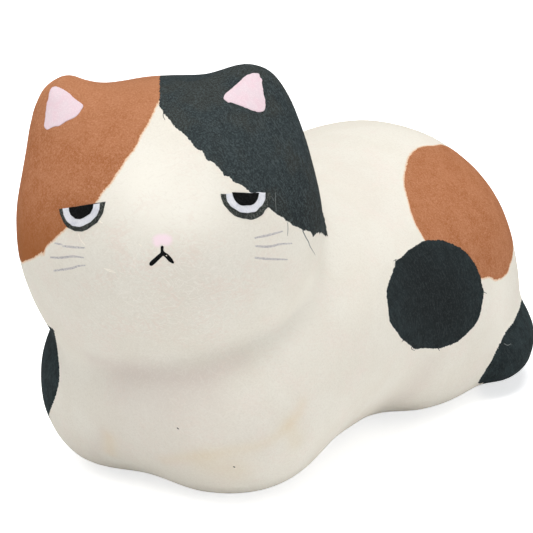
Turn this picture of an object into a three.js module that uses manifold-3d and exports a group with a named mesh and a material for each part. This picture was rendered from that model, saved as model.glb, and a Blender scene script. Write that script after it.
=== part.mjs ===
// A papier-mache cat that lies with its paws tucked under it and looks round to its left.
//
// Millimetres, +Z up. The cat faces -Y, its left side is +X, and it rests on z = 0 with its body's
// plane of symmetry at x = 0. Paper pasted over a form has no sharp edges, so the cat is a set of
// rounded lumps joined by soft fillets. It is one closed skin, cut flat underneath.

import * as THREE from "three";
import { mergeVertices } from "three/addons/utils/BufferGeometryUtils.js";
import Module from "manifold-3d";

const { Vector3 } = THREE;
const { clamp, degToRad, lerp, smoothstep } = THREE.MathUtils;

// The body, from the chest to the back of the tail.
const BODY_WIDTH = 81;
const BODY_LENGTH = 150;
const BODY_HEIGHT = 68;

// The head, and how it sits: turned about Z to the cat's left, then tilted to its right shoulder.
const HEAD_WIDTH = 71.4;
const HEAD_DEPTH = 67.5;
const HEAD_CROWN = 37.6; // from the head's middle up to its crown
const HEAD_CHIN = 44.7; // from the head's middle down to the point of its chin, inside the neck
const BROW_ROUNDING = 7.9; // the height over which the forehead starts to fall back
const HEAD_TURN = 34.4; // degrees
const HEAD_TILT = 3.9; // degrees

// An ear is the end of a lump that is half sunk in the crown.
const EAR_WIDTH = 16.8;
const EAR_DEPTH = 14.2;
const EAR_LENGTH = 28.2;

const TAIL_THICKNESS = 27.5;
const TAIL_TIP_THICKNESS = 17;

// Fillets: two surfaces run into each other where they are closer than this.
const NECK_FILLET = 2;
const EAR_FILLET = 10.4;
const TAIL_FILLET = 3;
const FOOT_FILLET = 5.3;
const FOOT_TRIM = 0.4; // the depth of the foot's rounding that the flat underside cuts away

// Lumps of the body, in the order that they are joined. Centres and half sizes are shares of the
// body's width, length and height, and a fillet is a share of its height. A centre with x > 0 is
// a mirrored pair.
const BODY_LUMPS = {
  trunk: { centre: [0, -0.012, 0.453], half: [0.483, 0.315, 0.5], fillet: 0 },
  rump: { centre: [0, 0.252, 0.436], half: [0.502, 0.255, 0.564], fillet: 0.233 },
  chest: { centre: [0, -0.283, 0.374], half: [0.45, 0.199, 0.365], fillet: 0.207 },
  shoulders: { centre: [0, -0.162, 0.489], half: [0.459, 0.195, 0.493], fillet: 0.181 },
  forelegs: { centre: [0.188, -0.292, 0.241], half: [0.241, 0.148, 0.279], fillet: 0.116 },
  haunches: { centre: [0.362, 0.212, 0.256], half: [0.115, 0.202, 0.258], fillet: 0.129 },
};

// The head's middle, as shares of the body's width, length and height.
const HEAD_PLACE = [-0.015, -0.314, 0.872];

// The head's outlines are superellipses: of its section, and of its profile above and below.
const HEAD_SECTION_POWER = 2.2;
const HEAD_DOME_POWER = 2.23;
const HEAD_BOWL_POWER = 1.75;

// How far the head's fullest line rises towards the face, for each unit of depth, and how far the
// forehead falls back, for each unit of height above that line.
const HEAD_LEAN = 0.2;
const FOREHEAD_SLOPE = 0.25;

// Each ear's middle, as shares of the head's half width, half depth and crown, and its size beside
// the full ear. The right ear stands out further and is drawn out less than the left one.
const EARS = {
  left: { place: [0.589, -0.083, 0.685], size: 1 },
  right: { place: [-0.609, -0.083, 0.773], size: 0.76 },
};

// The tail grows out of the rump and lies round it on part of an ellipse, with its tip against the
// left haunch.
const TAIL_CENTRE = 0.252; // the ellipse's middle, as a share of the body's length
const TAIL_REACH = [0.452, 0.2]; // its half sizes, as shares of the body's width and length
const TAIL_LIFT = 0.4; // the tail's middle above the ground, as a share of its thickness
const TAIL_ROOT_ANGLE = 122; // degrees round the ellipse from the cat's left
const TAIL_TIP_ANGLE = 12;
const TAIL_ROOT_REACH = 0.62; // the share of the ellipse's size at which the root starts
const TAIL_ROOT_END = 0.35; // share of the tail's length over which it comes out of the rump
const TAIL_TAPER_START = 0.45; // share of the tail's length
const TAIL_TAPER_POWER = 1.5;
const TAIL_STEPS = 24;

// The skin is meshed in cubic cells, this many along the body.
const CELLS_ALONG_BODY = 40;
const MARGIN_CELLS = 2;
const SETTLING_STEPS = 12;
const SLOPE_STEP = 0.02; // half the span over which a slope is measured, as a share of a cell

const bodySize = new Vector3(BODY_WIDTH, BODY_LENGTH, BODY_HEIGHT);
const onBody = (shares) => new Vector3(...shares).multiply(bodySize);

// Every shape below is a value at each point: under zero inside, zero on the surface, and close to
// the distance from it nearby.

function ellipsoid(point, centre, half) {
  const unit = point.clone().sub(centre).divide(half);
  const reach = unit.length();
  const slope = unit.divide(half).length();
  return slope === 0 ? -Math.min(...half) : (reach * (reach - 1)) / slope;
}

function join(a, b, fillet) {
  if (fillet === 0) return Math.min(a, b);
  const share = clamp(0.5 + (0.5 * (b - a)) / fillet, 0, 1);
  return lerp(b, a, share) - fillet * share * (1 - share);
}

// Body

const lumps = Object.values(BODY_LUMPS).map(({ centre, half, fillet }) => ({
  centre: onBody(centre),
  half: onBody(half),
  fillet: fillet * BODY_HEIGHT,
}));

function lumpValue(point, { centre, half, fillet }) {
  const left = ellipsoid(point, centre, half);
  if (centre.x === 0) return left;
  const right = ellipsoid(point, centre.clone().setX(-centre.x), half);
  return join(left, right, fillet);
}

function bodyValue(point) {
  return lumps.reduce((value, lump) => join(value, lumpValue(point, lump), lump.fillet), Infinity);
}

// Tail

const tail = Array.from({ length: TAIL_STEPS + 1 }, (_, step) => {
  const along = step / TAIL_STEPS;
  const angle = degToRad(lerp(TAIL_ROOT_ANGLE, TAIL_TIP_ANGLE, along));
  const reach = lerp(TAIL_ROOT_REACH, 1, smoothstep(along, 0, TAIL_ROOT_END));
  const across = reach * TAIL_REACH[0] * Math.cos(angle);
  const back = TAIL_CENTRE + reach * TAIL_REACH[1] * Math.sin(angle);
  const taper = clamp((along - TAIL_TAPER_START) / (1 - TAIL_TAPER_START), 0, 1) ** TAIL_TAPER_POWER;
  return {
    centre: onBody([across, back, 0]).setZ(TAIL_LIFT * TAIL_THICKNESS),
    radius: lerp(TAIL_THICKNESS, TAIL_TIP_THICKNESS, taper) / 2,
  };
});

function tailValue(point) {
  const line = new THREE.Line3();
  let value = Infinity;
  for (let step = 0; step < TAIL_STEPS; step += 1) {
    const [from, to] = [tail[step], tail[step + 1]];
    line.set(from.centre, to.centre);
    const along = line.closestPointToPointParameter(point, true);
    const distance = line.at(along, new Vector3()).distanceTo(point);
    value = Math.min(value, distance - lerp(from.radius, to.radius, along));
  }
  return value;
}

// Head and ears

const headCentre = onBody(HEAD_PLACE);
const crownHalf = new Vector3(HEAD_WIDTH / 2, HEAD_DEPTH / 2, HEAD_CROWN);
const chinHalf = crownHalf.clone().setZ(HEAD_CHIN);
const headTurn = new THREE.Euler(0, degToRad(-HEAD_TILT), degToRad(HEAD_TURN), "ZYX");
const headPose = new THREE.Matrix4().makeRotationFromEuler(headTurn).setPosition(headCentre);
const intoHead = headPose.clone().invert();

const ears = Object.values(EARS).map(({ place, size }) => ({
  centre: new Vector3(...place).multiply(crownHalf),
  half: new Vector3(EAR_WIDTH, EAR_DEPTH, EAR_LENGTH).multiplyScalar(size / 2),
}));

function skullValue(local) {
  const rise = local.z + HEAD_LEAN * local.y;
  const front = 0.5 - 0.5 * clamp(local.y / crownHalf.y, -1, 1);
  const fall = FOREHEAD_SLOPE * front * 0.5 * (rise + Math.hypot(rise, BROW_ROUNDING));
  const above = rise > 0;
  const half = above ? crownHalf : chinHalf;
  const power = above ? HEAD_DOME_POWER : HEAD_BOWL_POWER;
  const unit = new Vector3(local.x, local.y - fall, rise).divide(half);
  const [across, deep, high] = unit.toArray().map(Math.abs);
  const section = (across ** HEAD_SECTION_POWER + deep ** HEAD_SECTION_POWER) ** (1 / HEAD_SECTION_POWER);
  const reach = (section ** power + high ** power) ** (1 / power);
  const length = unit.length();
  return length === 0 ? -half.y : ((reach - 1) * length) / unit.divide(half).length();
}

function headValue(point) {
  const local = point.clone().applyMatrix4(intoHead);
  return ears.reduce(
    (value, ear) => join(value, ellipsoid(local, ear.centre, ear.half), EAR_FILLET),
    skullValue(local),
  );
}

// The whole cat, with its foot rounded towards a plane just under the ground

function catValue(point) {
  const bodyAndTail = join(bodyValue(point), tailValue(point), TAIL_FILLET);
  const figure = join(bodyAndTail, headValue(point), NECK_FILLET);
  return -join(-figure, point.z + FOOT_TRIM, FOOT_FILLET);
}

function slopeAt(value, point, step) {
  const difference = (x, y, z) => {
    const offset = new Vector3(x, y, z).multiplyScalar(step);
    return (value(point.clone().add(offset)) - value(point.clone().sub(offset))) / (2 * step);
  };
  return new Vector3(difference(1, 0, 0), difference(0, 1, 0), difference(0, 0, 1));
}

// The point of a cell where the tangent planes of its crossings meet, or the middle of them where
// they are nearly parallel. Creases get a row of points along them this way.
function settle(crossings) {
  const share = 1 / crossings.length;
  const settled = new Vector3();
  for (const { point } of crossings) settled.addScaledVector(point, share);
  for (let step = 0; step < SETTLING_STEPS; step += 1) {
    const pull = new Vector3();
    for (const { point, normal } of crossings) {
      pull.addScaledVector(normal, share * normal.dot(point.clone().sub(settled)));
    }
    settled.add(pull);
  }
  return settled;
}

// The surface of a shape as triangles: a point in each cell that the surface passes through, and
// two triangles across each edge between cells that it crosses.
function skin(value, box, cell) {
  const counts = box.getSize(new Vector3()).divideScalar(cell).ceil().addScalar(1).toArray();
  const strides = [1, counts[0], counts[0] * counts[1]];
  const columnOf = (node, axis) => Math.floor(node / strides[axis]) % counts[axis];
  const placeOf = (node) =>
    new Vector3(...[0, 1, 2].map((axis) => columnOf(node, axis))).multiplyScalar(cell).add(box.min);
  const slopeStep = SLOPE_STEP * cell;

  const values = Array.from({ length: strides[2] * counts[2] }, (_, node) => value(placeOf(node)));
  const cells = new Map();
  const quads = [];
  values.forEach((here, node) => {
    for (let axis = 0; axis < 3; axis += 1) {
      const there = values[node + strides[axis]];
      if (columnOf(node, axis) === counts[axis] - 1 || here < 0 === there < 0) continue;
      const point = placeOf(node).lerp(placeOf(node + strides[axis]), here / (here - there));
      const crossing = { point, normal: slopeAt(value, point, slopeStep).normalize() };
      const [side, up] = [strides[(axis + 1) % 3], strides[(axis + 2) % 3]];
      const around = [node - side - up, node - up, node, node - side];
      for (const key of around) {
        if (!cells.has(key)) cells.set(key, []);
        cells.get(key).push(crossing);
      }
      quads.push(here < 0 ? around : around.reverse());
    }
  });

  const indexOf = new Map([...cells.keys()].map((key, index) => [key, index]));
  const points = [...cells.values()].map((crossings) => {
    const point = settle(crossings);
    const slope = slopeAt(value, point, slopeStep);
    return point.addScaledVector(slope, -value(point) / slope.lengthSq());
  });
  const missAt = (a, b) => Math.abs(value(points[a].clone().add(points[b]).multiplyScalar(0.5)));
  const triangles = quads.flatMap((keys) => {
    const [a, b, c, d] = keys.map((key) => indexOf.get(key));
    return missAt(a, c) < missAt(b, d) ? [a, b, c, a, c, d] : [a, b, d, b, c, d];
  });

  const geometry = new THREE.BufferGeometry().setFromPoints(points);
  geometry.setIndex(triangles);
  return geometry;
}

// The space that the cat can fill
const reaches = [
  ...lumps.flatMap(({ centre, half }) => [
    { centre, half },
    { centre: centre.clone().setX(-centre.x), half },
  ]),
  ...tail.map(({ centre, radius }) => ({ centre, half: new Vector3(radius, radius, radius) })),
  { centre: headCentre, half: new Vector3().setScalar(crownHalf.length()) },
];
const cell = BODY_LENGTH / CELLS_ALONG_BODY;
const space = new THREE.Box3();
for (const { centre, half } of reaches) {
  space.expandByPoint(centre.clone().sub(half));
  space.expandByPoint(centre.clone().add(half));
}
space.min.z = -FOOT_TRIM;
space.expandByScalar(MARGIN_CELLS * cell);

// Flat underside

const wasm = await Module();
wasm.setup();

function toSolid(geometry) {
  const bare = geometry.clone().deleteAttribute("normal").deleteAttribute("uv");
  const merged = mergeVertices(bare);
  const mesh = new wasm.Mesh({
    numProp: 3,
    vertProperties: new Float32Array(merged.attributes.position.array),
    triVerts: new Uint32Array(merged.index.array),
  });
  return new wasm.Manifold(mesh);
}

function toGeometry(solid) {
  const mesh = solid.getMesh();
  const geometry = new THREE.BufferGeometry();
  geometry.setAttribute("position", new THREE.BufferAttribute(mesh.vertProperties, 3));
  geometry.setIndex(new THREE.BufferAttribute(mesh.triVerts, 1));
  geometry.computeVertexNormals();
  return geometry;
}

const ground = new THREE.BoxGeometry(...space.getSize(new Vector3()));
const groundCentre = space.getCenter(new Vector3());
ground.translate(groundCentre.x, groundCentre.y, -ground.parameters.depth / 2);

const catGeometry = toGeometry(toSolid(skin(catValue, space, cell)).subtract(toSolid(ground)));
const paper = new THREE.MeshStandardMaterial({ color: 0xf3ecdf, roughness: 0.95, metalness: 0 });

const cat = new THREE.Mesh(catGeometry, paper);
cat.name = "cat";

const model = new THREE.Group();
model.add(cat);

export default model;
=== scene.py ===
"""Looks of the papier-mache cat: its skin of handmade paper, the pasted and drawn face, floor, light and camera.

The cat faces -Y, its left side is +X and +Z is up. Lengths inside the helpers are in millimetres, and meshes are
written in metres. A "spot" below is a place in the photograph's frame, in pixels of 533 by 533, which the camera's ray
carries on to the skin.
"""

import math

import bmesh
import bpy
import numpy as np
from mathutils import Matrix, Vector, geometry, noise
from mathutils.bvhtree import BVHTree


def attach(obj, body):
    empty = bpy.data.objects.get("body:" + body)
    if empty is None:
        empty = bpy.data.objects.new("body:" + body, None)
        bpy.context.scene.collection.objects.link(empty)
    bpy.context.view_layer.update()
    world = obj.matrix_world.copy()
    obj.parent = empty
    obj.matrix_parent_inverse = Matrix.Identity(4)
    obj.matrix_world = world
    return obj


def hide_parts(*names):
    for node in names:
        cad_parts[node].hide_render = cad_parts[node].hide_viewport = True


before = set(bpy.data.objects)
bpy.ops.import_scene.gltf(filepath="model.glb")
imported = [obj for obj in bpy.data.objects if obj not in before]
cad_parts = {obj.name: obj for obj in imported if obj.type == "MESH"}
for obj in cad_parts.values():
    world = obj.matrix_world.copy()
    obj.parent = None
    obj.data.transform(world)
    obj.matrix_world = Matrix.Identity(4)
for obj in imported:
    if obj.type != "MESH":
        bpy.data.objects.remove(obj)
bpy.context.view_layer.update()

MM = 0.001
PHOTO_SIZE = 533
FOCAL_PIXELS = 2400.0
CAMERA_AZIMUTH = math.radians(33.434)
CAMERA_ELEVATION = math.radians(17.268)
CAMERA_AIM = (-4.888, 37.324, 612.48)
CAMERA_BASE = Vector((0.0, 0.396, 0.0))

HEAD_CENTRE = Vector((-1.215, -47.1, 59.30))
HEAD_TURN = math.radians(34.4)
HEAD_TILT = math.radians(-3.9)
HEAD_LEAN = 0.2
HEAD_AXES = Matrix.Rotation(HEAD_TURN, 3, "Z") @ Matrix.Rotation(HEAD_TILT, 3, "Y")
SKULL_HALF_WIDTH, SKULL_HALF_DEPTH, SKULL_CROWN, SKULL_CHIN = 35.7, 33.75, 37.6, 44.7
SKULL_RADIUS = 33.0
EARS_FROM = 18

rng = np.random.default_rng(20)


# Camera

def direction(azimuth, elevation):
    """The unit vector at an azimuth from -Y towards +X and an elevation, both in radians."""
    level = math.cos(elevation)
    return Vector((math.sin(azimuth) * level, -math.cos(azimuth) * level, math.sin(elevation)))


RIGHT = Vector((math.cos(CAMERA_AZIMUTH), math.sin(CAMERA_AZIMUTH), 0))
BACK = direction(CAMERA_AZIMUTH, CAMERA_ELEVATION)
UP = BACK.cross(RIGHT)
EYE = RIGHT * CAMERA_AIM[0] + UP * CAMERA_AIM[1] + BACK * CAMERA_AIM[2] + CAMERA_BASE


def make_camera():
    sensor_width = 36.0
    data = bpy.data.cameras.new("camera")
    data.sensor_fit = "HORIZONTAL"
    data.sensor_width = sensor_width
    data.lens = sensor_width * FOCAL_PIXELS / PHOTO_SIZE
    data.clip_start = 0.01
    data.clip_end = 20.0
    camera = bpy.data.objects.new("camera", data)
    bpy.context.scene.collection.objects.link(camera)
    camera.matrix_world = Matrix((
        (RIGHT.x, UP.x, BACK.x, EYE.x * MM),
        (RIGHT.y, UP.y, BACK.y, EYE.y * MM),
        (RIGHT.z, UP.z, BACK.z, EYE.z * MM),
        (0, 0, 0, 1),
    ))
    bpy.context.scene.camera = camera


# Curves

def curve_through(points, step, closed=False):
    """Points of a smooth curve through the given ones, about step apart, as an array."""
    pts = np.array(points, float)
    count = len(pts)
    spans = count if closed else count - 1
    out = []
    for i in range(spans):
        if closed:
            a, b, c, d = (pts[(i + k) % count] for k in (-1, 0, 1, 2))
        else:
            b, c = pts[i], pts[i + 1]
            a = pts[i - 1] if i else 2 * b - c
            d = pts[i + 2] if i + 2 < count else 2 * c - b
        steps = max(2, int(math.ceil(np.linalg.norm(c - b) / step)))
        for t in np.arange(steps) / steps:
            out.append(0.5 * (
                2 * b + (c - a) * t + (2 * a - 5 * b + 4 * c - d) * t * t + (3 * b - a - 3 * c + d) * t ** 3))
    if not closed:
        out.append(pts[-1])
    return np.array(out)


def straight_cuts(corners, step):
    """Points about step apart along straight cuts from corner to corner of a closed outline."""
    pts = np.array(corners, float)
    out = []
    for a, b in zip(pts, np.roll(pts, -1, 0)):
        count = max(1, round(float(np.linalg.norm(b - a)) / step))
        out += [a + (b - a) * k / count for k in range(count)]
    return np.array(out)


def segment_distance(points, line, closed):
    """Distance of each point to a polyline, all in the same unit."""
    a = line if closed else line[:-1]
    b = np.roll(line, -1, 0) if closed else line[1:]
    ab = b - a
    length = np.maximum((ab * ab).sum(1), 1e-12)
    best = np.full(len(points), np.inf)
    batch = 4000
    for i in range(0, len(points), batch):
        p = points[i:i + batch, None, :]
        t = np.clip(((p - a) * ab).sum(2) / length, 0, 1)
        gap = p - (a + t[..., None] * ab)
        best[i:i + batch] = np.sqrt((gap * gap).sum(2).min(1))
    return best


def inside(points, polygon):
    """Which 2D points lie inside a polygon."""
    x, y = points[:, 0], points[:, 1]
    odd = np.zeros(len(points), bool)
    for (x0, y0), (x1, y1) in zip(polygon, np.roll(polygon, -1, 0)):
        crosses = (y0 > y) != (y1 > y)
        with np.errstate(divide="ignore", invalid="ignore"):
            odd ^= crosses & (x < (x1 - x0) * (y - y0) / (y1 - y0) + x0)
    return odd


def smoothstep(x, low, high):
    """0 up to low and 1 from high on, with a smooth rise between them."""
    t = np.clip((x - low) / (high - low), 0, 1)
    return t * t * (3 - 2 * t)


# Skin

FAIRING_PASSES = 5
FAIRING_STEPS = (0.5, -0.52)
RELIEF_FADE = 4.0
RELIEF_SINK = 0.05
# width of the lumps, place in the noise and height, in millimetres
PAPER_RELIEF = ((19.0, (0, 0, 0), 0.16), (6.5, (40, 0, 0), 0.06), (2.6, (0, 70, 0), 0.018))


def fair(bm):
    """Even out the points of a mesh between its borders. Each step inwards is followed by one that takes it back."""
    bm.verts.ensure_lookup_table()
    places = np.array([v.co for v in bm.verts])
    ends = np.array([[v.index for v in e.verts] for e in bm.edges])
    degree = np.bincount(ends.ravel(), minlength=len(places))[:, None]
    free = np.array([not v.is_boundary for v in bm.verts])[:, None]
    for share in FAIRING_STEPS * FAIRING_PASSES:
        total = np.zeros_like(places)
        np.add.at(total, ends[:, 0], places[ends[:, 1]])
        np.add.at(total, ends[:, 1], places[ends[:, 0]])
        places += free * share * (total / degree - places)
    for v, place in zip(bm.verts, places):
        v.co = place


def make_skin():
    """The solid's shape as a smooth skin, with the shallow unevenness of layered paper."""
    bm = bmesh.new()
    bm.from_mesh(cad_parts["cat"].data)
    bmesh.ops.remove_doubles(bm, verts=bm.verts, dist=1e-6)
    floor_faces = [f for f in bm.faces if all(v.co.z < 2e-5 for v in f.verts)]
    bmesh.ops.delete(bm, geom=floor_faces, context="FACES")
    widest = math.radians(60)
    bmesh.ops.join_triangles(bm, faces=bm.faces, angle_face_threshold=widest, angle_shape_threshold=widest)
    mesh = bpy.data.meshes.new("cat_skin")
    bm.to_mesh(mesh)
    bm.free()
    skin = bpy.data.objects.new("cat_skin", mesh)
    bpy.context.scene.collection.objects.link(skin)
    finer = skin.modifiers.new("finer", "SUBSURF")
    finer.levels = finer.render_levels = 2
    finer.boundary_smooth = "ALL"
    dense = bpy.data.meshes.new_from_object(skin.evaluated_get(bpy.context.evaluated_depsgraph_get()))
    skin.modifiers.clear()
    skin.data = dense
    dense.name = "cat_skin"
    bm = bmesh.new()
    bm.from_mesh(dense)
    fair(bm)
    bm.normal_update()
    for v in bm.verts:
        if v.is_boundary:
            v.co.z = 0.0
            continue
        p = v.co * 1000
        height = sum(tall * noise.noise(p / size + Vector(shift)) for size, shift, tall in PAPER_RELIEF) - RELIEF_SINK
        fade = min(1.0, p.z / RELIEF_FADE)
        v.co += v.normal * height * fade * MM
    edge = [e for e in bm.edges if e.is_boundary]
    bmesh.ops.contextual_create(bm, geom=edge)
    bm.normal_update()
    bm.to_mesh(dense)
    bm.free()
    for polygon in dense.polygons:
        polygon.use_smooth = len(polygon.vertices) <= 4
    return skin


def vertex_values(name):
    values = np.empty(len(skin.data.vertices) * 3)
    skin.data.vertices.foreach_get(name, values)
    return values.reshape(-1, 3)


make_camera()
skin = make_skin()
skin_points = vertex_values("co") * 1000
skin_normals = vertex_values("normal")
skin_faces = [tuple(f.vertices) for f in skin.data.polygons if len(f.vertices) <= 4]
skin_tree = BVHTree.FromPolygons([Vector(p) for p in skin_points], skin_faces)


def smooth_normal(place, index):
    """The skin's shading normal near a place on one of its faces."""
    corners = skin_faces[index]
    weights = [1.0 / (1e-6 + (Vector(skin_points[i]) - place).length) for i in corners]
    total = Vector((0, 0, 0))
    for i, w in zip(corners, weights):
        total += Vector(skin_normals[i]) * w
    return total.normalized()


def cast(spot):
    """The place on the skin that a spot of the photograph shows, with its normal, or None."""
    across, down = ((s - PHOTO_SIZE / 2) / FOCAL_PIXELS for s in spot)
    place, _, index, _ = skin_tree.ray_cast(EYE, (RIGHT * across - UP * down - BACK).normalized())
    if place is None:
        return None
    return place, smooth_normal(place, index)


def snap(point):
    """The place on the skin nearest to a point in millimetres."""
    return skin_tree.find_nearest(Vector(point))[0]


def head_local(points):
    """Points in the head's own frame: to the cat's left, to the back of the head and up."""
    return (points - np.array(HEAD_CENTRE)) @ np.array(HEAD_AXES)


def head_angles(points):
    """Azimuth from the nose to the cat's left, and elevation, of points seen from the middle of the head."""
    u, d, w = head_local(points).T
    return np.degrees(np.arctan2(u, -d)), np.degrees(np.arctan2(w, np.hypot(u, d)))


def from_head(azimuth, elevation):
    """The place on the skin in a direction from the middle of the head."""
    way = HEAD_AXES @ direction(math.radians(azimuth), math.radians(elevation))
    return skin_tree.ray_cast(HEAD_CENTRE, way)[0]


# Coloured papers, as distances in millimetres from their cut edges

def seen_line(spots, step=1.5, closed=False):
    """The places on the skin under a smooth line in the photograph."""
    hits = [cast(s) for s in curve_through(spots, step, closed)]
    return [h[0] for h in hits if h]


def head_paper(front, side_angles):
    """Distance inside the paper on one side of the head: the front edge as seen, then round the hidden side."""
    line = np.array(seen_line(front) + [from_head(*angle) for angle in curve_through(side_angles, 3.0)])
    side = math.copysign(1, side_angles[0][0])
    azimuth, elevation = head_angles(line)
    order = np.argsort(azimuth)
    own_azimuth, own_elevation = head_angles(skin_points)
    past_the_back = own_azimuth * side < -100
    own_azimuth = np.where(past_the_back, own_azimuth + 360 * side, own_azimuth)
    limit = np.interp(own_azimuth, azimuth[order], elevation[order])
    away = segment_distance(skin_points, line, False)
    return np.where(own_elevation > limit, away, -away)


def on_head():
    """Distance inside the head's own surface, which ends in the crease of the neck and takes in the ears."""
    u, d, w = head_local(skin_points).T
    high = w + HEAD_LEAN * d
    half_height = np.where(high > 0, SKULL_CROWN, SKULL_CHIN)
    reach = np.sqrt((u / SKULL_HALF_WIDTH) ** 2 + (d / SKULL_HALF_DEPTH) ** 2 + (high / half_height) ** 2)
    limit = 1.025 + 0.06 * smoothstep(w, -3, 8)
    well_inside = 10.0
    return np.where(w > EARS_FROM, well_inside, (limit - reach) * SKULL_RADIUS)


def covered(points, line, middle, out):
    """Which points lie inside a closed line on the skin, as seen along its normal."""
    side = Vector((0, 0, 1)).cross(out).normalized()
    axes = np.array([side, out.cross(side)])
    return inside((points - middle) @ axes.T, (line - middle) @ axes.T)


PAPER_REACH = 60


def round_paper(seen, hidden, centre):
    """Distance inside a paper pasted on the body, with a closed outline that is partly seen."""
    line = seen_line(seen, closed=not hidden)
    if hidden:
        line += [snap(p) for p in curve_through([line[-1], *hidden, line[0]], 1.0)[1:-1]]
    line = np.array(line)
    away = segment_distance(skin_points, line, True)
    middle, out, _, _ = skin_tree.find_nearest(Vector(centre))
    middle = np.array(middle)
    same_side = skin_normals @ np.array(out) > -0.2
    near = np.linalg.norm(skin_points - middle, axis=1) < PAPER_REACH
    return np.where(covered(skin_points, line, middle, out) & same_side & near, away, -away)


def tail_paper():
    """Distance inside the tail's own surface, which ends in the crease where it lies against the body."""
    count, height, margin = 200, 11.0, 0.9
    root_angle, tip_angle = 122, 12
    root_width, tip_width = 27.5, 17
    body_width, body_length = 81, 150
    t = np.linspace(0, 1, count)
    angle = np.radians(root_angle + (tip_angle - root_angle) * t)
    reach = 0.62 + 0.38 * smoothstep(t, 0, 0.35)
    across = reach * 0.452 * body_width * np.cos(angle)
    along = body_length * (0.252 + reach * 0.2 * np.sin(angle))
    axis = np.stack([across, along, np.full(count, height)], 1)
    radius = (root_width + (tip_width - root_width) * np.clip((t - 0.45) / 0.55, 0, 1) ** 1.5) / 2
    best = np.full(len(skin_points), np.inf)
    for place, thick in zip(axis, radius):
        best = np.minimum(best, np.linalg.norm(skin_points - place, axis=1) - thick)
    return margin - best


BROWN_HEAD_EDGE = [
    (172, 79), (164, 91), (157.6, 103.1), (155, 107.8), (152.1, 114.5), (148.3, 122.2), (145.4, 127), (141.6, 133.7),
    (137.8, 141.3), (133, 150), (127.2, 157.6), (122.4, 164.3), (114.8, 176.7), (107.5, 186), (101.8, 192.7),
    (97.5, 200.2), (88, 210), (66.2, 227.5), (50.9, 241.9), (45.6, 247), (42.8, 255.4),
    (41.2, 252.2), (32, 258), (26, 260.5)]
BROWN_HEAD_SIDE = [(-72, -2), (-90, -3), (-110, 0), (-140, -4), (-179, -25)]
BLACK_HEAD_EDGE = [
    (146, 86), (152, 94.5), (157.8, 103.6), (159.8, 106.9), (164.5, 114.5), (171.2, 121.2), (176, 127.9),
    (183.7, 133.7), (190.4, 141.3), (197.1, 149), (202.8, 151.9), (206.7, 159.5), (213.3, 162.4), (219.1, 168.1),
    (224.8, 175.8), (228.7, 176.3), (234.4, 181.5), (242.1, 185.4), (248.8, 191.1), (258, 199), (267.6, 206.5),
    (274.6, 212.3), (286, 220), (295, 226), (300, 228), (303, 230.7), (308.4, 231), (311.5, 232.6), (313.4, 237.2),
    (315.3, 234.1), (318, 233), (320.4, 234.6), (321.6, 232.4)]
BLACK_HEAD_SIDE = [(74, 1), (90, -5), (110, -14), (140, -22), (179, -25)]
BLACK_SPOT = [
    (424, 241.1), (414.7, 246.3), (405.9, 252.5), (399.6, 258.8), (395.5, 260.9), (394.9, 265), (391.3, 275.9),
    (388.2, 284.3), (386.6, 292.6), (387.2, 301.9), (388.7, 312.3), (389.8, 321.7), (394.9, 329), (402.2, 338.8),
    (411.6, 346.1), (414.7, 349.2), (424.1, 348.2), (438.1, 348.7), (449, 345.6), (459.4, 340.4), (469.8, 331),
    (477.1, 321.7), (480.2, 313.4), (482.3, 303), (483.8, 292.6), (481.7, 284.3), (480.2, 275.9), (475, 264.5),
    (468.8, 255.1), (459.4, 247.3), (449, 242.7), (437.6, 240.1)]
BROWN_SPOT = [
    (509.3, 265.6), (507.2, 272.3), (501, 278), (494.7, 279.6), (491.6, 277.5), (487.5, 277), (481.2, 278), (470, 272),
    (450, 262), (435, 252), (424.4, 238.8), (417.1, 226.1), (412.2, 215.4), (409.3, 202.7), (405.9, 191),
    (404.4, 180.2), (405.9, 168.5), (408.3, 158.8), (412.2, 152.9), (419, 148), (426.8, 145.9), (434, 146.4)]
BROWN_SPOT_BEHIND = [(16.5, 49, 61), (18, 57, 56), (23, 64, 49), (29, 64, 43), (35, 58, 39)]
BLACK_FLANK = [
    (53.6, 328.4), (55.4, 337), (57.6, 350), (59.4, 368), (59, 382), (56.4, 394), (52.6, 404), (50, 412)]
BLACK_FLANK_BEHIND = [
    (-29, -61, 11), (-36, -52, 9), (-41, -40, 14), (-42, -33, 24), (-41, -35, 34), (-35, -46, 41), (-25, -58, 42)]
TAIL_EDGE = [(525, 305), (520, 322), (511.5, 341), (499, 360), (485, 379)]
TAIL_EDGE_HALF_WIDTH = 2.1
NOSE = [
    (152.6, 240), (154, 236.5), (158, 234.6), (163, 234.2), (168, 234.8), (171.4, 237), (172.2, 240.5), (170.8, 244),
    (167.8, 246), (164.4, 245.2), (162, 244.6), (159.5, 246.6), (156, 247), (153.4, 244)]

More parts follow.
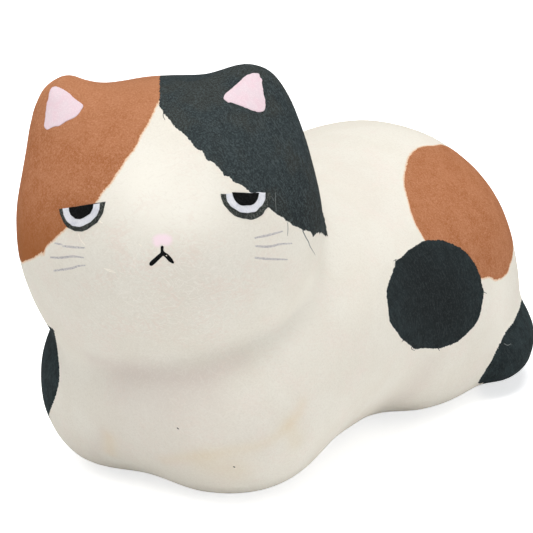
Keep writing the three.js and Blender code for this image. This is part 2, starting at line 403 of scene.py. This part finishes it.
# slow changes of tint, painted light and painted shade, each with its strength, the line of spots it follows and its
# reach in millimetres
TINT_BANDS = {
    "deep": [(1.0, [(425, 285), (445, 305)], 15.0)],
    "loose": [(1.0, [(150, 288), (182, 290)], 16.0)],
    # painted light: paler paper on the upper face, along the crease beside the neck and on the rump's right end
    "clear": [
        (1.0, [(150, 192), (165, 205), (182, 208)], 9.0),
        (0.5, [(311, 285), (304, 320), (288, 344)], 4.0),
        (0.6, [(500, 296), (503, 326)], 7.0)],
    # rosy grey tint and painted shade: under the chin, on the chest below it, in the lower face, in the haunch's
    # hollow, on the body beside the head and in a dent of the foreleg
    "rosy": [
        (0.42, [(92, 359), (120, 368), (150, 374), (185, 377), (215, 371), (240, 361)], 2.6),
        (0.34, [(128, 386), (165, 394), (205, 391)], 5.5),
        (0.16, [(130, 425), (190, 430), (245, 430)], 9.0),
        (0.12, [(196, 268), (206, 296)], 6.5),
        (0.30, [(405, 396), (425, 374)], 5.0),
        (0.14, [(362, 176), (380, 205)], 8.0),
        (0.30, [(103, 432), (94, 455)], 2.0)],
    # yellowish marks along the top of the tucked foreleg and low on the forelegs
    "yellow_marks": [
        (0.32, [(164, 460.6), (230, 451), (267.5, 442), (295.6, 417), (302, 404)], 1.6),
        (0.35, [(205, 462), (235, 470)], 4.0),
        (0.5, [(109, 437), (110, 452)], 2.0),
        (0.35, [(290, 425), (296, 441)], 2.5)],
}


def store(name, values):
    layer = skin.data.attributes.new(name, "FLOAT", "POINT")
    layer.data.foreach_set("value", np.asarray(values, np.float32))


def soft_band(spots, reach):
    """Strength of a slow change of tint, which some bands use as painted light and painted shade: 1 along a line of
    spots and less with the distance from it.
    """
    line = np.array(seen_line(spots))
    return np.exp(-(segment_distance(skin_points, line, False) / reach) ** 2)


def soft_spot(spots, reach=15.0):
    """Distance inside a soft mark on the face, which isn't worked out farther than reach from its middle."""
    line = np.array(seen_line(spots, 0.8, True))
    middle = line.mean(0)
    near = np.where(np.linalg.norm(skin_points - middle, axis=1) < reach)[0]
    away = segment_distance(skin_points[near], line, True)
    out = Vector(np.mean([cast(s)[1] for s in spots], 0))
    result = np.full(len(skin_points), -reach)
    result[near] = np.where(covered(skin_points[near], line, middle, out), away, -away)
    return result


head_inside = on_head()
head_u, _, head_w = head_local(skin_points).T
brown_head = np.minimum(np.minimum(head_paper(BROWN_HEAD_EDGE, BROWN_HEAD_SIDE), head_inside), 6.0 - head_u)
tail_edge = segment_distance(skin_points, np.array(seen_line(TAIL_EDGE)), False)
store("brown_paper", np.maximum(brown_head, round_paper(BROWN_SPOT, BROWN_SPOT_BEHIND, (31, 41, 52))))
store("black_head", np.minimum(head_paper(BLACK_HEAD_EDGE, BLACK_HEAD_SIDE), head_inside))
store("black_seam", head_u - 0.6)
store("black_paper", np.maximum.reduce([
    round_paper(BLACK_SPOT, [], (38.5, 0, 36)),
    round_paper(BLACK_FLANK, BLACK_FLANK_BEHIND, (-36, -50, 26)),
    tail_paper(),
    TAIL_EDGE_HALF_WIDTH - tail_edge,
]))
# height on the head for the painted light and painted shade of its papers, and a level without effect elsewhere
store("rise", np.where(head_inside > -2, head_w, 22.0))
store("nose", soft_spot(NOSE))
for band_name, bands in TINT_BANDS.items():
    store(band_name, sum(strength * soft_band(spots, reach) for strength, spots, reach in bands))


# Materials

class Shader:
    """A material under construction: each call adds a node and returns its first output."""

    def __init__(self, name, sheen=0.06):
        self.material = bpy.data.materials.new(name)
        self.material.use_nodes = True
        self.tree = self.material.node_tree
        self.surface = self.tree.nodes["Principled BSDF"]
        self.surface.inputs["Roughness"].default_value = 0.9
        self.surface.inputs["Specular IOR Level"].default_value = sheen
        texture_place = self.tree.nodes.new("ShaderNodeTexCoord")
        self.place = self.vector("SCALE", texture_place.outputs["Object"], scale=1000.0)

    def put(self, socket, value):
        if isinstance(value, bpy.types.NodeSocket):
            self.tree.links.new(value, socket)
        else:
            socket.default_value = value

    def vector(self, operation, a, b=None, scale=None):
        node = self.tree.nodes.new("ShaderNodeVectorMath")
        node.operation = operation
        self.put(node.inputs[0], a)
        if b is not None:
            self.put(node.inputs[1], b)
        if scale is not None:
            self.put(node.inputs["Scale"], scale)
        return node.outputs[0]

    def math(self, operation, a, b):
        node = self.tree.nodes.new("ShaderNodeMath")
        node.operation = operation
        for socket, value in zip(node.inputs, (a, b)):
            self.put(socket, value)
        return node.outputs[0]

    def noise(self, size, detail=2.0, rough=0.5, shift=0.0):
        """Noise between 0 and 1 whose lumps are about size millimetres wide."""
        node = self.tree.nodes.new("ShaderNodeTexNoise")
        self.put(node.inputs["Vector"], self.vector("ADD", self.place, (shift, shift * 0.7, -shift)))
        node.inputs["Scale"].default_value = 1.0 / size
        node.inputs["Detail"].default_value = detail
        node.inputs["Roughness"].default_value = rough
        return node.outputs[0]

    def waver(self, size, detail, rough, shift):
        """Noise about zero."""
        return self.math("SUBTRACT", self.noise(size, detail, rough, shift), 0.5)

    def weighted(self, *terms):
        """The sum of some values, each times its weight."""
        total = None
        for value, weight in terms:
            part = self.math("MULTIPLY", value, weight)
            total = part if total is None else self.math("ADD", total, part)
        return total

    def attribute(self, name):
        node = self.tree.nodes.new("ShaderNodeAttribute")
        node.attribute_name = name
        return node.outputs["Fac"]

    def ramp(self, value, low, high, to_low=0.0, to_high=1.0, smooth=True):
        node = self.tree.nodes.new("ShaderNodeMapRange")
        node.interpolation_type = "SMOOTHSTEP" if smooth else "LINEAR"
        self.put(node.inputs["Value"], value)
        for name, limit in zip(("From Min", "From Max", "To Min", "To Max"), (low, high, to_low, to_high)):
            node.inputs[name].default_value = limit
        return node.outputs[0]

    def mix(self, factor, a, b):
        node = self.tree.nodes.new("ShaderNodeMix")
        node.data_type = "RGBA"
        self.put(node.inputs[0], factor)
        self.put(node.inputs[6], a)
        self.put(node.inputs[7], b)
        return node.outputs[2]

    def bent_place(self, swing):
        """The place moved to and fro a little, so that straight streaks come out curved."""
        bend_length = 4.5
        node = self.tree.nodes.new("ShaderNodeTexNoise")
        self.put(node.inputs["Vector"], self.place)
        node.inputs["Scale"].default_value = 1.0 / bend_length
        node.inputs["Detail"].default_value = 1.0
        offset = self.vector("SUBTRACT", node.outputs["Color"], (0.5, 0.5, 0.5))
        return self.vector("ADD", self.place, self.vector("SCALE", offset, scale=swing))

    def fibres(self, length, width, threshold, turns, shift=0.0):
        """Thin separate strands that lie in several directions, 1 on a strand and 0 between them."""
        edge = 0.10
        place = self.bent_place(2.6)
        total = None
        for i, turn in enumerate(turns):
            frame_of_strand = self.tree.nodes.new("ShaderNodeMapping")
            frame_of_strand.vector_type = "TEXTURE"
            self.put(frame_of_strand.inputs["Vector"], place)
            frame_of_strand.inputs["Location"].default_value = (shift + 17.0 * i, 5.0 * i, shift)
            frame_of_strand.inputs["Rotation"].default_value = [math.radians(a) for a in turn]
            frame_of_strand.inputs["Scale"].default_value = (length, width, width)
            node = self.tree.nodes.new("ShaderNodeTexNoise")
            self.put(node.inputs["Vector"], frame_of_strand.outputs[0])
            node.inputs["Scale"].default_value = 1.0
            node.inputs["Detail"].default_value = 0.0
            strand = self.ramp(node.outputs[0], threshold, threshold + edge)
            total = strand if total is None else self.math("MAXIMUM", total, strand)
        return total

    def bump(self, height, distance, strength=0.6):
        node = self.tree.nodes.new("ShaderNodeBump")
        node.inputs["Strength"].default_value = strength
        node.inputs["Distance"].default_value = distance * MM
        self.put(node.inputs["Height"], height)
        return node.outputs[0]

    def finish(self, colour, normal=None):
        self.put(self.surface.inputs["Base Color"], colour)
        if normal is not None:
            self.put(self.surface.inputs["Normal"], normal)
        return self.material


def srgb(red, green, blue):
    """A colour of 0 to 255 as linear RGBA."""
    def linear(c):
        c /= 255.0
        return c / 12.92 if c <= 0.04045 else ((c + 0.055) / 1.055) ** 2.4
    return (linear(red), linear(green), linear(blue), 1.0)


WHITE = srgb(229, 225, 214)
WHITE_WARM = srgb(226, 221, 209)
WHITE_ROSY = srgb(230, 220, 211)
WHITE_PEACH = srgb(226, 207, 194)
WHITE_FIBRE = srgb(242, 238, 229)
WHITE_SHADE = srgb(212, 205, 193)
# painted light on the white paper
WHITE_PAINTED_LIGHT = srgb(240, 236, 225)
# rosy grey, partly painted shade
WHITE_BLUSH_AND_SHADE = srgb(211, 199, 191)
# yellowish marks on the white paper
WHITE_YELLOW = srgb(222, 206, 178)
BROWN = srgb(172, 113, 78)
BROWN_DEEP = srgb(162, 102, 66)
BROWN_PALE = srgb(192, 138, 104)
BROWN_DARK = srgb(146, 88, 54)
# painted shade for the low part of the head
BROWN_PAINTED_SHADE = srgb(149, 88, 44)
BROWN_FRINGE = srgb(222, 168, 112)
CHARCOAL = srgb(43, 52, 54)
CHARCOAL_DEEP = srgb(30, 34, 35)
# paler charcoal for the head, painted light and sheen
CHARCOAL_PAINTED_LIGHT = srgb(54, 61, 63)
CHARCOAL_PALE = srgb(78, 87, 88)
CHARCOAL_WARM = srgb(58, 59, 55)
PINK = srgb(224, 206, 212)
NOSE_PINK = srgb(247, 226, 232)
INK = srgb(15, 16, 16)
PENCIL_DARK = srgb(166, 162, 166)
PENCIL_LIGHT = srgb(214, 209, 205)

# turns of the pasted fibres about X, Y and Z, in degrees
FACE_TURNS = [(0, 10, 30), (0, -24, 40), (0, 48, 34), (0, -62, 36)]
SIDE_TURNS = [(0, 8, 75), (0, -40, 95), (0, 62, 88)]
STEEP_TURNS = [(0, 55, 40), (0, -50, -30), (0, 75, 110)]


def white_paper(s):
    """The colour of the white paper, with its marks, painted light and painted shade, and its grain."""
    clouds = s.noise(11.0, shift=3.0)
    colour = s.mix(s.ramp(clouds, 0.35, 0.65), WHITE, WHITE_WARM)
    rosy = s.noise(7.0, shift=15.0)
    colour = s.mix(s.ramp(rosy, 0.5, 0.75, 0.0, 0.35), colour, WHITE_ROSY)
    grain = s.noise(0.45, rough=0.6, shift=9.0)
    colour = s.mix(s.ramp(grain, 0.42, 0.75, 0.0, 0.34), colour, WHITE_SHADE)
    # painted light on the upper face, the crease beside the neck and the rump's end
    colour = s.mix(s.attribute("clear"), colour, WHITE_PAINTED_LIGHT)
    # rosy grey tint and painted shade in the creases and hollows
    colour = s.mix(s.attribute("rosy"), colour, WHITE_BLUSH_AND_SHADE)
    # yellowish marks low on the forelegs
    colour = s.mix(s.attribute("yellow_marks"), colour, WHITE_YELLOW)
    near_face = s.fibres(8.0, 0.30, 0.67, FACE_TURNS, 3.0)
    near_side = s.fibres(8.0, 0.32, 0.68, SIDE_TURNS, 41.0)
    light = s.math("MULTIPLY", near_face, s.ramp(s.attribute("loose"), 0.0, 1.0, 0.14, 0.46, False))
    light = s.math("MAXIMUM", light, s.math("MULTIPLY", near_side, 0.14))
    colour = s.mix(light, colour, WHITE_FIBRE)
    peach = s.fibres(5.0, 0.55, 0.60, FACE_TURNS[:3] + SIDE_TURNS[:1], 63.0)
    peach = s.math("MULTIPLY", peach, s.ramp(s.attribute("loose"), 0.0, 0.7, 0.4, 1.0))
    colour = s.mix(s.math("MULTIPLY", peach, s.ramp(rosy, 0.40, 0.62, 0.04, 0.30)), colour, WHITE_PEACH)
    dark = s.fibres(6.0, 0.30, 0.69, FACE_TURNS[1:3] + SIDE_TURNS[:1], 77.0)
    return s.mix(s.math("MULTIPLY", dark, 0.16), colour, WHITE_SHADE), grain


def brown_paper(s):
    """The colour of the red-brown paper, with painted light that makes it paler on the brow and painted shade that
    makes it deeper low on the head.
    """
    clouds = s.noise(4.5, detail=3.0, rough=0.6, shift=21.0)
    colour = s.mix(s.ramp(clouds, 0.35, 0.68), BROWN, BROWN_DEEP)
    grain = s.noise(0.42, detail=3.0, rough=0.65, shift=27.0)
    colour = s.mix(s.ramp(grain, 0.46, 0.74, 0.0, 0.8), colour, BROWN_PALE)
    colour = s.mix(s.ramp(grain, 0.46, 0.30, 0.0, 0.6), colour, BROWN_DARK)
    strands = s.fibres(3.4, 0.34, 0.63, STEEP_TURNS, 83.0)
    colour = s.mix(s.math("MULTIPLY", strands, 0.35), colour, BROWN_PALE)
    rise = s.attribute("rise")
    # painted light: paler on the brow
    colour = s.mix(s.ramp(rise, 24.0, 40.0, 0.0, 0.32), colour, BROWN_PALE)
    # painted shade: deeper low on the head
    return s.mix(s.ramp(rise, 21.0, -2.0, 0.0, 0.8), colour, BROWN_PAINTED_SHADE)


def black_paper(s, upper):
    """The colour of the charcoal paper. On the head, where upper is 1, it has warm worn blotches, and it is paler and
    more grainy as painted light and sheen from above, and darker low down as painted shade.
    """
    clouds = s.noise(3.0, detail=4.0, rough=0.65, shift=33.0)
    colour = s.mix(s.ramp(clouds, 0.38, 0.62, 0.0, 0.6), CHARCOAL, CHARCOAL_DEEP)
    # painted light and sheen: the head's charcoal is paler
    colour = s.mix(s.math("MULTIPLY", upper, 0.55), colour, CHARCOAL_PAINTED_LIGHT)
    fading = s.ramp(s.noise(8.0, shift=57.0), 0.42, 0.62, 0.0, 0.6)
    colour = s.mix(s.math("MULTIPLY", fading, upper), colour, CHARCOAL_WARM)
    # painted shade: darker low on the head; the "deep" mark darkens the middle of the flank's spot
    low = s.math("MULTIPLY", s.ramp(s.attribute("rise"), 24.0, 4.0, 0.0, 0.5), upper)
    low = s.math("MAXIMUM", low, s.math("MULTIPLY", s.attribute("deep"), 0.95))
    colour = s.mix(low, colour, CHARCOAL_DEEP)
    grain = s.noise(0.5, detail=4.0, rough=0.8, shift=39.0)
    # painted light: the grain is stronger on the head
    strength = s.ramp(upper, 0.0, 1.0, 0.35, 1.0, False)
    pale = s.math("MULTIPLY", s.ramp(grain, 0.48, 0.80), strength)
    deep = s.math("MULTIPLY", s.ramp(grain, 0.47, 0.30), strength)
    colour = s.mix(pale, colour, CHARCOAL_PALE)
    colour = s.mix(s.math("MULTIPLY", deep, 0.8), colour, CHARCOAL_DEEP)
    strands = s.math("MULTIPLY", s.fibres(3.0, 0.32, 0.63, STEEP_TURNS, 97.0), strength)
    return s.mix(s.math("MULTIPLY", strands, 0.5), colour, CHARCOAL_PALE)


def skin_material():
    """The skin's papers over one another: white, the nose, the brown papers with their fringe, then the charcoal."""
    s = Shader("pasted_paper")
    white, grain = white_paper(s)
    ragged = s.waver(0.75, 2.0, 0.65, 61.0)
    wavy = s.waver(3.2, 1.0, 0.5, 67.0)
    frayed = s.waver(0.26, 2.0, 0.7, 53.0)
    feather = s.waver(0.5, 2.0, 0.7, 71.0)
    front = s.math("MINIMUM", s.attribute("black_head"), s.attribute("black_seam"))
    black_tear = s.weighted((ragged, 0.75), (wavy, 0.4), (frayed, 0.45))
    black_gap = s.math("ADD", s.math("MAXIMUM", front, s.attribute("black_paper")), black_tear)
    black = s.ramp(black_gap, -0.04, 0.04)
    brown_tear = s.weighted((feather, 0.8), (wavy, 0.5))
    brown_gap = s.math("ADD", s.attribute("brown_paper"), brown_tear)
    brown = s.ramp(brown_gap, -0.10, 0.12)
    fringe = s.ramp(brown_gap, -0.62, -0.05, 0.0, 0.6)
    nose_mark = s.ramp(s.math("ADD", s.attribute("nose"), s.math("MULTIPLY", ragged, 0.5)), -0.55, 0.6)
    colour = s.mix(nose_mark, white, NOSE_PINK)
    colour = s.mix(fringe, colour, BROWN_FRINGE)
    colour = s.mix(brown, colour, brown_paper(s))
    colour = s.mix(black, colour, black_paper(s, s.ramp(front, 0.0, 0.1)))
    wrinkles = s.noise(2.0, detail=3.0, rough=0.55, shift=5.0)
    relief = s.math("ADD", wrinkles, s.math("MULTIPLY", grain, 0.4))
    return s.finish(colour, s.bump(relief, 0.06))


def plain_paper(name, tint, shade, pale, strength=0.4):
    """Cut paper of one colour with its own cloud, grain and fibres."""
    s = Shader(name)
    clouds = s.noise(2.5, detail=3.0, rough=0.6, shift=13.0)
    colour = s.mix(s.ramp(clouds, 0.35, 0.7), tint, shade)
    strands = s.fibres(2.0, 0.26, 0.62, STEEP_TURNS, 43.0)
    colour = s.mix(s.math("MULTIPLY", strands, strength), colour, pale)
    grain = s.noise(0.6, detail=3.0, rough=0.65, shift=19.0)
    return s.finish(colour, s.bump(grain, 0.03))


def pencil_material():
    """A broken grey line."""
    s = Shader("pencil")
    broken = s.noise(0.22, rough=0.6, shift=29.0)
    return s.finish(s.mix(s.ramp(broken, 0.38, 0.62), PENCIL_DARK, PENCIL_LIGHT))


skin.data.materials.clear()
skin.data.materials.append(skin_material())

PINK_PAPER = plain_paper("pink_paper", PINK, srgb(226, 200, 208), srgb(238, 220, 224))
SHADE_PAPER = plain_paper("eye_shade_paper", srgb(54, 57, 55), srgb(44, 47, 45), srgb(92, 95, 90), 0.8)
RING_PAPER = plain_paper("eye_ring_paper", srgb(221, 222, 227), srgb(202, 204, 212), srgb(236, 236, 238))
INK_PAPER = plain_paper("ink", INK, srgb(14, 15, 15), srgb(44, 46, 46), 0.3)
PENCIL = pencil_material()
LIGHT_FIBRE = plain_paper("light_fibre", srgb(246, 240, 228), srgb(238, 230, 216), srgb(250, 246, 240))
GREY_FIBRE = plain_paper("grey_fibre", srgb(108, 113, 112), srgb(98, 102, 101), srgb(124, 127, 126))
DARK_FIBRE = plain_paper("dark_fibre", srgb(62, 66, 64), srgb(48, 52, 50), srgb(90, 94, 92))


# Pasted and drawn pieces

def add_piece(name, points, faces, material):
    mesh = bpy.data.meshes.new(name)
    mesh.from_pydata([tuple(c * MM for c in p) for p in points], [], faces)
    mesh.validate()
    mesh.update()
    for polygon in mesh.polygons:
        polygon.use_smooth = True
    mesh.materials.append(material)
    piece = bpy.data.objects.new(name, mesh)
    bpy.context.scene.collection.objects.link(piece)
    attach(piece, "root")
    return piece


SMOOTH_CUT_STEP = 0.7
STRAIGHT_CUT_STEP = 1.6
GRID_STEP = 1.1
GRID_JITTER = 0.1
GRID_MARGIN = 0.5
EDGE_SINK = 0.05
STROKE_STEP = 0.8
STROKE_EDGE = 0.4


def across_line(tangent):
    """Unit vectors square to the tangents of a line."""
    normal = np.stack([tangent[:, 1], -tangent[:, 0]], 1)
    return normal / np.maximum(np.linalg.norm(normal, axis=1), 1e-9)[:, None]


def uneven_cut(line, wave):
    """A closed line cut by hand, which swings about wave pixels to either side."""
    swing = rng.normal(0, 1, len(line))
    swing = np.convolve(np.r_[swing[-2:], swing, swing[:2]], [0.2, 0.5, 0.6, 0.5, 0.2], "valid")
    tangent = np.roll(line, -1, 0) - np.roll(line, 1, 0)
    return line + across_line(tangent) * (swing * wave)[:, None]


def pasted(name, outline, lift, material, wave, corners=False):
    """A cut paper that follows the skin inside an outline given in spots, with its edge turned down to the skin."""
    line = straight_cuts(outline, STRAIGHT_CUT_STEP) if corners else curve_through(outline, SMOOTH_CUT_STEP, True)
    line = uneven_cut(line, wave)
    columns, rows = (np.arange(low, high, GRID_STEP) for low, high in zip(line.min(0), line.max(0)))
    grid = np.stack(np.meshgrid(columns, rows), -1).reshape(-1, 2)
    grid = grid + rng.uniform(-GRID_JITTER, GRID_JITTER, grid.shape)
    grid = grid[inside(grid, line)]
    grid = grid[segment_distance(grid, line, True) > GRID_MARGIN]
    flat = [Vector(p) for p in np.r_[line, grid]]
    rim = [(i, (i + 1) % len(line)) for i in range(len(line))]
    spots, _, faces, *_ = geometry.delaunay_2d_cdt(flat, rim, [], 1, 1e-5)
    hits = [cast(s) for s in spots]
    points = [h[0] + h[1] * lift for h in hits]
    faces = [tuple(f) for f in faces]
    edges = dict.fromkeys(edge for f in faces for edge in zip(f, f[1:] + f[:1]))
    border = [(a, b) for a, b in edges if (b, a) not in edges]
    foot = {}
    for a, _ in border:
        foot[a] = len(points)
        points.append(hits[a][0] - hits[a][1] * EDGE_SINK)
    faces += [(b, a, foot[a], foot[b]) for a, b in border]
    a, b, c = (points[i] for i in faces[0][:3])
    if (b - a).cross(c - a).dot(hits[faces[0][0]][1]) < 0:
        faces = [tuple(reversed(f)) for f in faces]
    return add_piece(name, points, faces, material)


def strokes(name, lines, material, lift):
    """Drawn lines or loose fibres on the skin. Each is a list of spots and its widths in pixels, evenly along it."""
    points, faces = [], []
    for spots, widths in lines:
        line = curve_through(spots, STROKE_STEP)
        across = -across_line(np.gradient(line, axis=0))
        width = np.interp(np.linspace(0, 1, len(line)), np.linspace(0, 1, len(widths)), widths)
        rows = []
        for p, side, w in zip(line, across, width):
            hits = [cast(p + side * w * k) for k in (-0.5, 0, 0.5)]
            if not all(hits):
                continue
            lifts = (lift * STROKE_EDGE, lift, lift * STROKE_EDGE)
            rows.append([place + normal * high for (place, normal), high in zip(hits, lifts)])
        for i, row in enumerate(rows):
            base = len(points)
            points += row
            if i:
                faces += [(base - 3, base - 2, base + 1, base), (base - 2, base - 1, base + 2, base + 1)]
    return add_piece(name, points, faces, material)


def half_disc(left, right, bottom):
    """Outline of a half round paper: a straight top between two corners, and a round lower edge through bottom."""
    left, right, bottom = (np.array(p, float) for p in (left, right, bottom))
    middle = (left + right) / 2
    half = (right - left) / 2
    down = bottom - middle
    arc = [middle + half * math.cos(t) + down * math.sin(t) for t in np.linspace(0, math.pi, 26)]
    top = [left + (right - left) * k for k in np.linspace(0.08, 0.92, 12)]
    return arc + top


EAR_LEFT = [
    (251.2, 73.9), (256, 73.3), (259.2, 74.3), (260, 77.5), (261.8, 79.5), (262, 84.3), (263, 89.9), (263.6, 94.6),
    (264.8, 99.4), (265.2, 105.8), (264.8, 109.4), (262, 111.8), (256.8, 112), (249.6, 109.4), (239.3, 105.4),
    (230.5, 102.4), (228.6, 102.7), (223.7, 98.6), (225.9, 93.4), (231.3, 89.1), (238.5, 82.7), (244.9, 76.7)]
EAR_RIGHT = [
    (49.5, 92.5), (51.5, 88.4), (54.5, 87), (58.5, 87.3), (61.5, 88.8), (68, 92.5), (75, 99), (82.6, 104.8),
    (82, 108.5), (76, 116.5), (66, 121.5), (60, 125.5), (53, 127), (49, 129.3), (46.5, 129.5), (44.5, 126),
    (45.4, 118), (46.6, 106), (48.6, 98)]
pasted("ear_paper_left", EAR_LEFT, 0.10, PINK_PAPER, 0.10)
pasted("ear_paper_right", EAR_RIGHT, 0.10, PINK_PAPER, 0.10)

EYE_SHADE_RIGHT = [
    (59.5, 209.2), (60, 213.7), (63.6, 222.6), (68, 227.7), (75, 231), (82, 231.6), (87.2, 229.6), (97.4, 222.6),
    (103, 213), (105.7, 201.6)]
EYE_RING_RIGHT = [
    (63, 208.6), (64, 215), (67.4, 221.4), (72.5, 225.8), (79.5, 226.8), (83.4, 225.8), (91, 222), (96.8, 216.2),
    (99.6, 209.2), (99.9, 203.4)]
PUPIL_RIGHT = [
    (69.4, 207.6), (69.6, 211), (71.2, 215), (75.7, 218.8), (80.8, 219.1), (84.6, 217.5), (90.4, 213.7), (93.3, 208),
    (93.6, 204)]
EYE_LAYERS = (("eye_shade", SHADE_PAPER, 0.08), ("eye_ring", RING_PAPER, 0.16), ("pupil", INK_PAPER, 0.24))
# the outline of each layer, and how unevenly it is cut
EYE_CUTS = {
    "right": ((EYE_SHADE_RIGHT, 0.10), (EYE_RING_RIGHT, 0.08), (PUPIL_RIGHT, 0.08)),
    "left": (
        (half_disc((220.6, 193.6), (270, 193), (248.9, 219.4)), 0.34),
        (half_disc((225.7, 193.7), (265.5, 192.4), (247.3, 213)), 0.30),
        (half_disc((232.2, 192.6), (258.9, 192.8), (245.6, 206.5)), 0.30)),
}
for eye, cuts in EYE_CUTS.items():
    for (layer, paper, height), (shape, unevenness) in zip(EYE_LAYERS, cuts):
        pasted(f"{layer}_{eye}", shape, height, paper, unevenness, corners=True)

MOUTH = [
    (160.6, 246.6), (162.1, 245.6), (163.7, 246.6), (163.5, 249.4), (164.4, 251.8), (167.8, 254.1), (170.7, 257),
    (173, 260), (174.1, 262.6), (173, 263.5), (170.8, 262.6), (168.2, 260.8), (165.6, 257.9), (163, 255.8),
    (160.4, 258.3), (158, 260.6), (155.2, 263.4), (152.4, 265.5), (150.7, 265.9), (149.3, 264.4), (150, 262.3),
    (152.3, 259.8), (155.2, 257.2), (158, 254.8), (160.4, 252.4), (160.6, 249.6)]
pasted("mouth", MOUTH, 0.04, INK_PAPER, 0.05)

PENCIL_LINE = (1.7, 2.3, 2.1, 1.2)
strokes("whiskers", [
    ([(54.5, 243), (58.5, 244), (62.6, 244.8)], (1.2, 1.9, 1.2)),
    ([(62.6, 246.1), (74, 247.2), (85, 247.9)], PENCIL_LINE),
    ([(50.2, 257.4), (61, 257.7), (73.2, 256.4), (84, 257.7)], PENCIL_LINE),
    ([(53.7, 270.8), (71.3, 268.2), (78.3, 266), (85.3, 265.4)], PENCIL_LINE),
    ([(254.7, 238), (268, 235.2), (282.9, 231.2)], PENCIL_LINE),
    ([(255.1, 246), (263, 246.6), (271, 246.4), (280, 244.2), (292, 243.4)], PENCIL_LINE),
    ([(254.6, 257.6), (266, 258.8), (287.6, 259.6)], PENCIL_LINE),
], PENCIL, 0.02)

STRAND = (0.5, 1.0, 0.5)
FRAY = (0.8, 0.6, 0.4)
strokes("light_strands", [
    ([(78.3, 233.5), (81, 240), (85.3, 245.6)], STRAND),
    ([(103.8, 268.5), (108, 269.2), (113.3, 271.1)], STRAND),
    ([(104, 268), (109, 271), (116, 272.5)], STRAND),
    ([(139, 244), (142, 246.5)], STRAND),
    ([(99.5, 220.5), (101, 222.4), (103, 223)], (0.8, 1.6, 0.8)),
    ([(165.9, 255), (167, 256.1)], (0.5, 0.9, 0.5)),
], LIGHT_FIBRE, 0.09)
strokes("dark_strands", [
    ([(163.6, 112.6), (163.2, 116), (165, 120.2)], FRAY),
    ([(171.2, 118.4), (171.6, 122), (174.2, 126.4)], FRAY),
    ([(396.4, 259.4), (393.2, 261.2)], FRAY),
    ([(483, 291.6), (486.6, 293.4)], FRAY),
    ([(404, 339.6), (401.6, 341.8)], FRAY),
    ([(412.6, 346), (411.4, 348.8), (414.6, 350.6)], FRAY),
    ([(438, 348), (439.5, 350.8)], FRAY),
    ([(176.8, 427.6), (179, 429.2)], (0.6, 1.2, 0.6)),
    ([(233, 466.4), (235.2, 467.4)], (0.6, 1.2, 0.6)),
], DARK_FIBRE, 0.05)
strokes("grey_strands", [
    ([(268.6, 195.4), (271.6, 197), (274.4, 201.4)], (0.5, 0.4, 0.3)),
    ([(275.4, 192.4), (275.6, 202), (276.2, 211)], (0.4, 0.6, 0.5)),
    ([(287.6, 222.4), (287.9, 229), (287.4, 236)], (0.5, 0.6, 0.3)),
    ([(302.6, 230.6), (305.7, 237.2), (308.4, 241.8), (310, 246.3), (315.4, 255.2)], (1.1, 0.9, 0.6, 0.3)),
    ([(503.8, 343.4), (507.5, 345.2), (511, 343.8)], (0.7, 0.8, 0.5)),
], GREY_FIBRE, 0.05)

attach(skin, "root")
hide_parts("cat")


# Floor and light

FLOOR_REACH = 4.0
FLOOR_MOTTLE = 0.005
FLOOR_GLOW = (0.98, 0.99, 1.0, 1.0)


def make_floor(name, glow, shade, height, seen):
    """A pale floor. One that is seen shows to the camera alone, and the other one takes part in the light alone."""
    r = FLOOR_REACH
    mesh = bpy.data.meshes.new(name)
    mesh.from_pydata([(-r, -r, 0), (r, -r, 0), (r, r, 0), (-r, r, 0)], [], [(0, 1, 2, 3)])
    floor = bpy.data.objects.new(name, mesh)
    bpy.context.scene.collection.objects.link(floor)
    s = Shader(name, sheen=0.0)
    pale = shade + FLOOR_MOTTLE
    s.finish(s.mix(s.noise(60.0, shift=2.0), (shade, shade, pale, 1), (pale, pale, pale, 1)))
    s.surface.inputs["Emission Color"].default_value = FLOOR_GLOW
    s.surface.inputs["Emission Strength"].default_value = glow
    mesh.materials.append(s.material)
    floor.visible_camera = seen
    floor.visible_diffuse = floor.visible_glossy = floor.visible_shadow = not seen
    floor.location.z = height


SUN_SPREAD = math.radians(40.0)


def soft_sun(name, side, height, strength):
    """A broad even light. Its direction is an angle from the camera's side to the picture's right, and one upwards."""
    data = bpy.data.lights.new(name, "SUN")
    data.angle = SUN_SPREAD
    data.energy = strength * math.pi
    lamp = bpy.data.objects.new(name, data)
    bpy.context.scene.collection.objects.link(lamp)
    a, e = math.radians(side), math.radians(height)
    across = Vector((RIGHT.x, RIGHT.y, 0)).normalized()
    front = Vector((BACK.x, BACK.y, 0)).normalized()
    way = (across * math.sin(a) + front * math.cos(a)) * math.cos(e) + Vector((0, 0, math.sin(e)))
    lamp.rotation_euler = way.to_track_quat("Z", "Y").to_euler()


def make_world(strength):
    world = bpy.data.worlds.new("studio")
    world.use_nodes = True
    world.node_tree.nodes["Background"].inputs["Color"].default_value = (1.0, 1.0, 1.0, 1.0)
    world.node_tree.nodes["Background"].inputs["Strength"].default_value = strength
    bpy.context.scene.world = world


make_floor("floor", glow=0.67, shade=0.90, height=0.0, seen=True)
make_floor("floor_below", glow=0.0, shade=0.80, height=-0.0002, seen=False)
make_world(0.10)
for sun in (
    ("overhead", 0, 90, 0.724),
    ("low_right", 60, 5, 0.57),
    ("low_left", 300, 5, 0.36),
    ("high_left", 300, 60, 0.24),
    ("rear_right", 115, 30, 0.05),
):
    soft_sun(*sun)
bpy.context.scene.view_settings.view_transform = "Standard"
bpy.context.scene.view_settings.look = "None"
